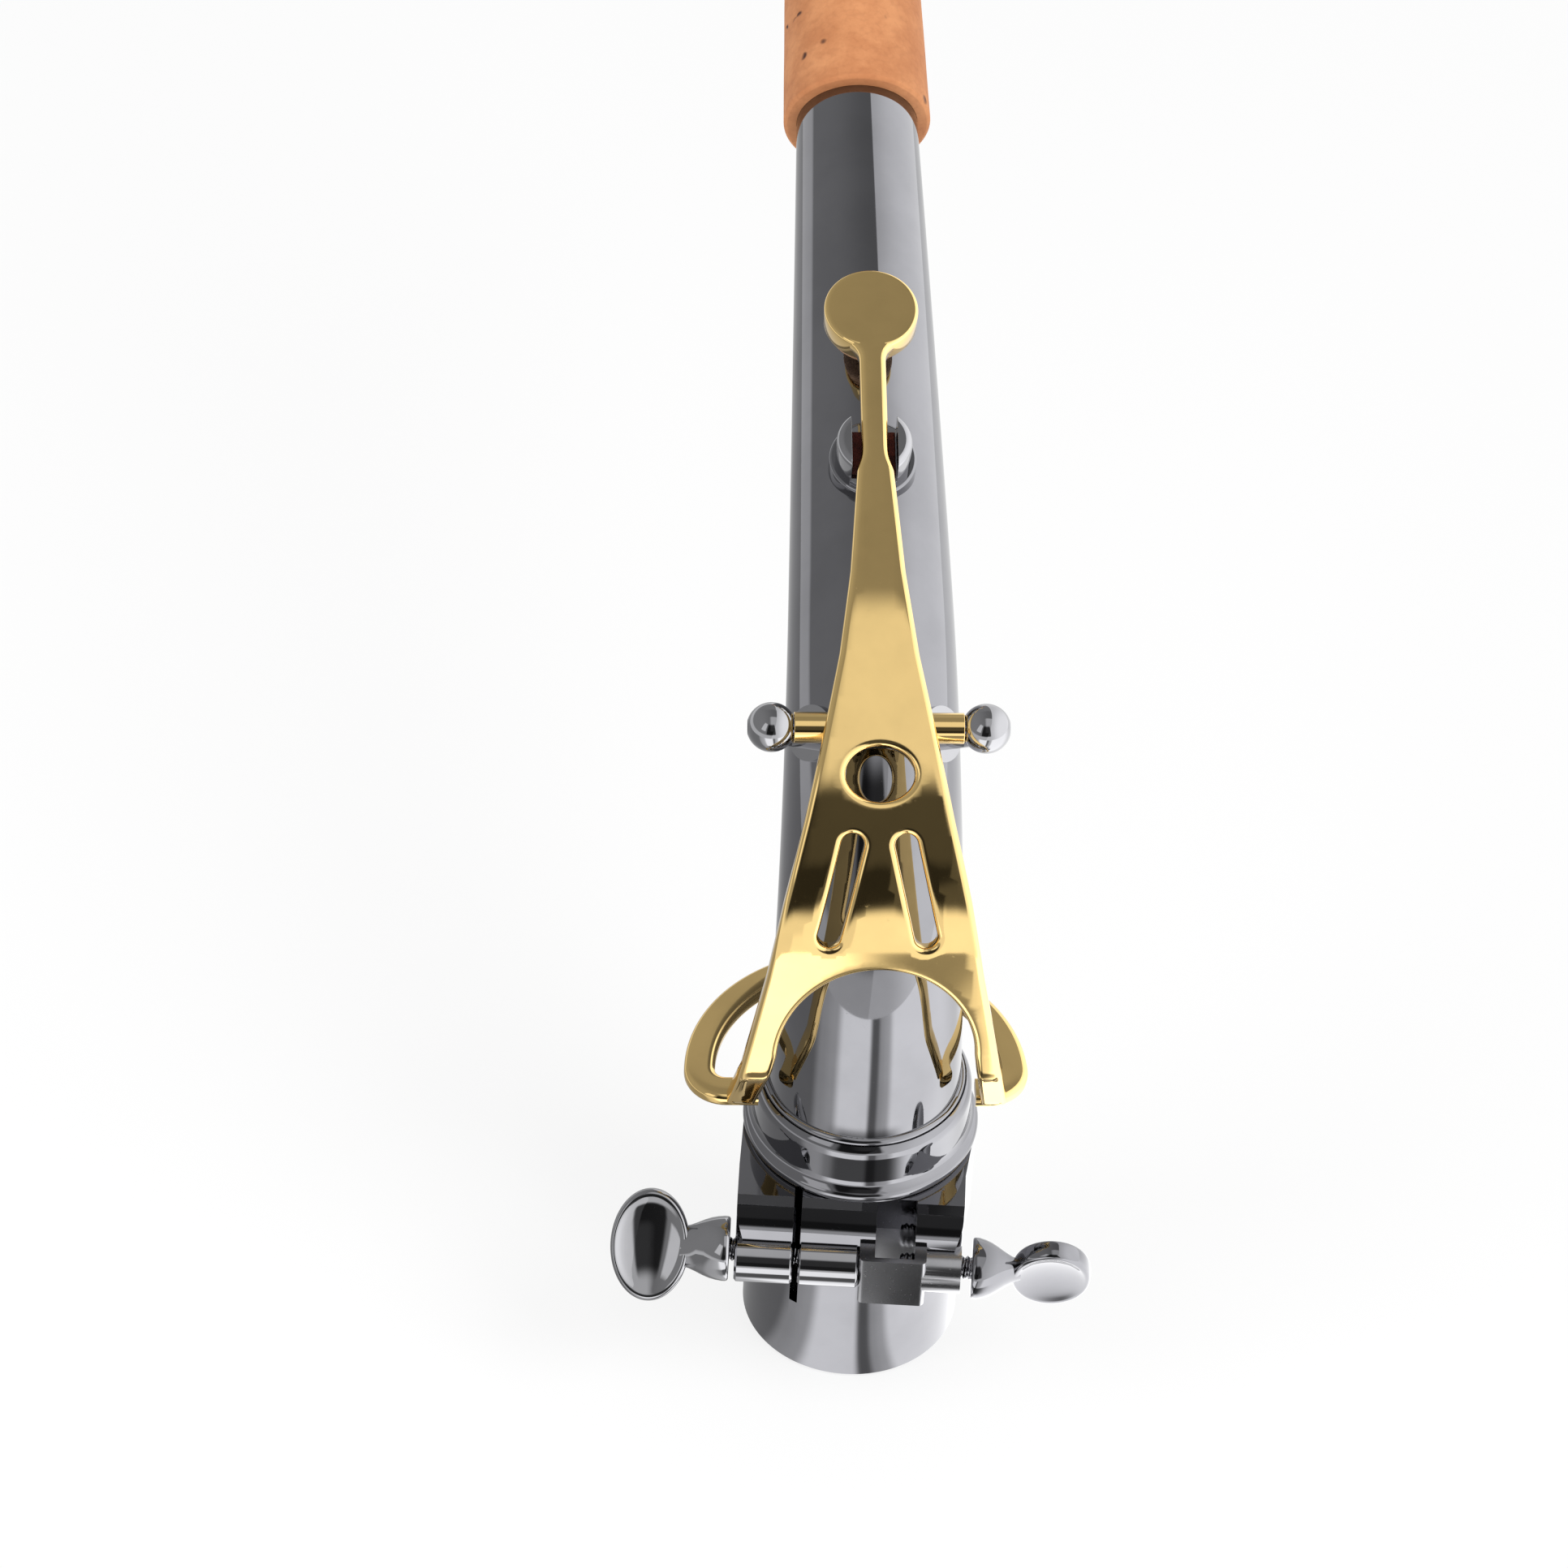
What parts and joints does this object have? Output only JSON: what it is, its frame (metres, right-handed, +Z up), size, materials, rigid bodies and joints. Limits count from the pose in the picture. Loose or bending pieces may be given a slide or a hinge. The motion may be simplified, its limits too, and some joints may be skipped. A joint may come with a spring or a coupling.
{
  "type": "alto saxophone neck with octave key",
  "caption": "Bent conical saxophone neck with cork, sprung octave key and ring, standing in its split clamping receiver with two thumbscrews.",
  "frame": {"origin": "on the tenon axis at the lower end of the receiver, where the body tube enters", "axes": "+Z up the tenon axis, +Y the way the neck curves towards the mouthpiece, +X to the right seen from the octave key plate"},
  "size_m": [0.0606, 0.1745, 0.127],
  "materials": {
    "black_nickel": "dark mirror plating",
    "gold_lacquer": "polished gold lacquer",
    "cork": "fine agglomerated natural cork",
    "pad_leather": "smooth tan leather",
    "felt": "dense dark felt",
    "spring_steel": "blued spring steel"
  },
  "bodies": {
    "receiver": {"receiver_sleeve": "black_nickel", "clamp_band": "black_nickel", "left_barrel": "black_nickel", "right_barrel": "black_nickel", "lyre_block": "black_nickel"},
    "neck_screw": {"neck_screw_head": "black_nickel", "neck_screw_shaft": "black_nickel"},
    "lyre_screw": {"lyre_screw_head": "black_nickel", "lyre_screw_shaft": "black_nickel"},
    "neck": {"neck_tenon": "black_nickel", "neck_collar": "black_nickel", "neck_tube": "black_nickel", "neck_cork": "cork", "tip_ring": "black_nickel", "octave_pip": "black_nickel", "guide_base": "black_nickel", "guide_cup": "black_nickel", "guide_felt": "felt", "left_post": "black_nickel", "right_post": "black_nickel", "hinge_rod": "spring_steel"},
    "octave_key": {"key_plate": "gold_lacquer", "key_ring": "gold_lacquer", "hinge_tube": "gold_lacquer", "pad_cup": "gold_lacquer", "octave_pad": "pad_leather", "key_spring": "spring_steel", "spring_screw": "black_nickel"}
  },
  "joints": [
    {"name": "neck_swivel", "type": "hinge", "parent": "receiver", "child": "neck", "pos_m": [0, 0, 0.0338], "axis": [0, 0, 1], "continuous": true},
    {"name": "octave_key_pivot", "type": "hinge", "parent": "neck", "child": "octave_key", "pos_m": [0, 0.00974, 0.0925], "axis": [1, 0, 0], "range_deg": [0, 3.2], "stiffness_Nm_per_rad": 0.3, "springref_deg": -6.88, "deforming": ["key_spring"]},
    {"name": "neck_screw_turn", "type": "hinge", "parent": "receiver", "child": "neck_screw", "pos_m": [-0.02105, -0.01437, 0.0252], "axis": [0.9976, -0.0698, 0], "range_deg": [0, 360]},
    {"name": "lyre_screw_turn", "type": "hinge", "parent": "receiver", "child": "lyre_screw", "pos_m": [0.01883, -0.01751, 0.0245], "axis": [0.9976, -0.0698, 0], "range_deg": [-720, 720]}
  ]
}
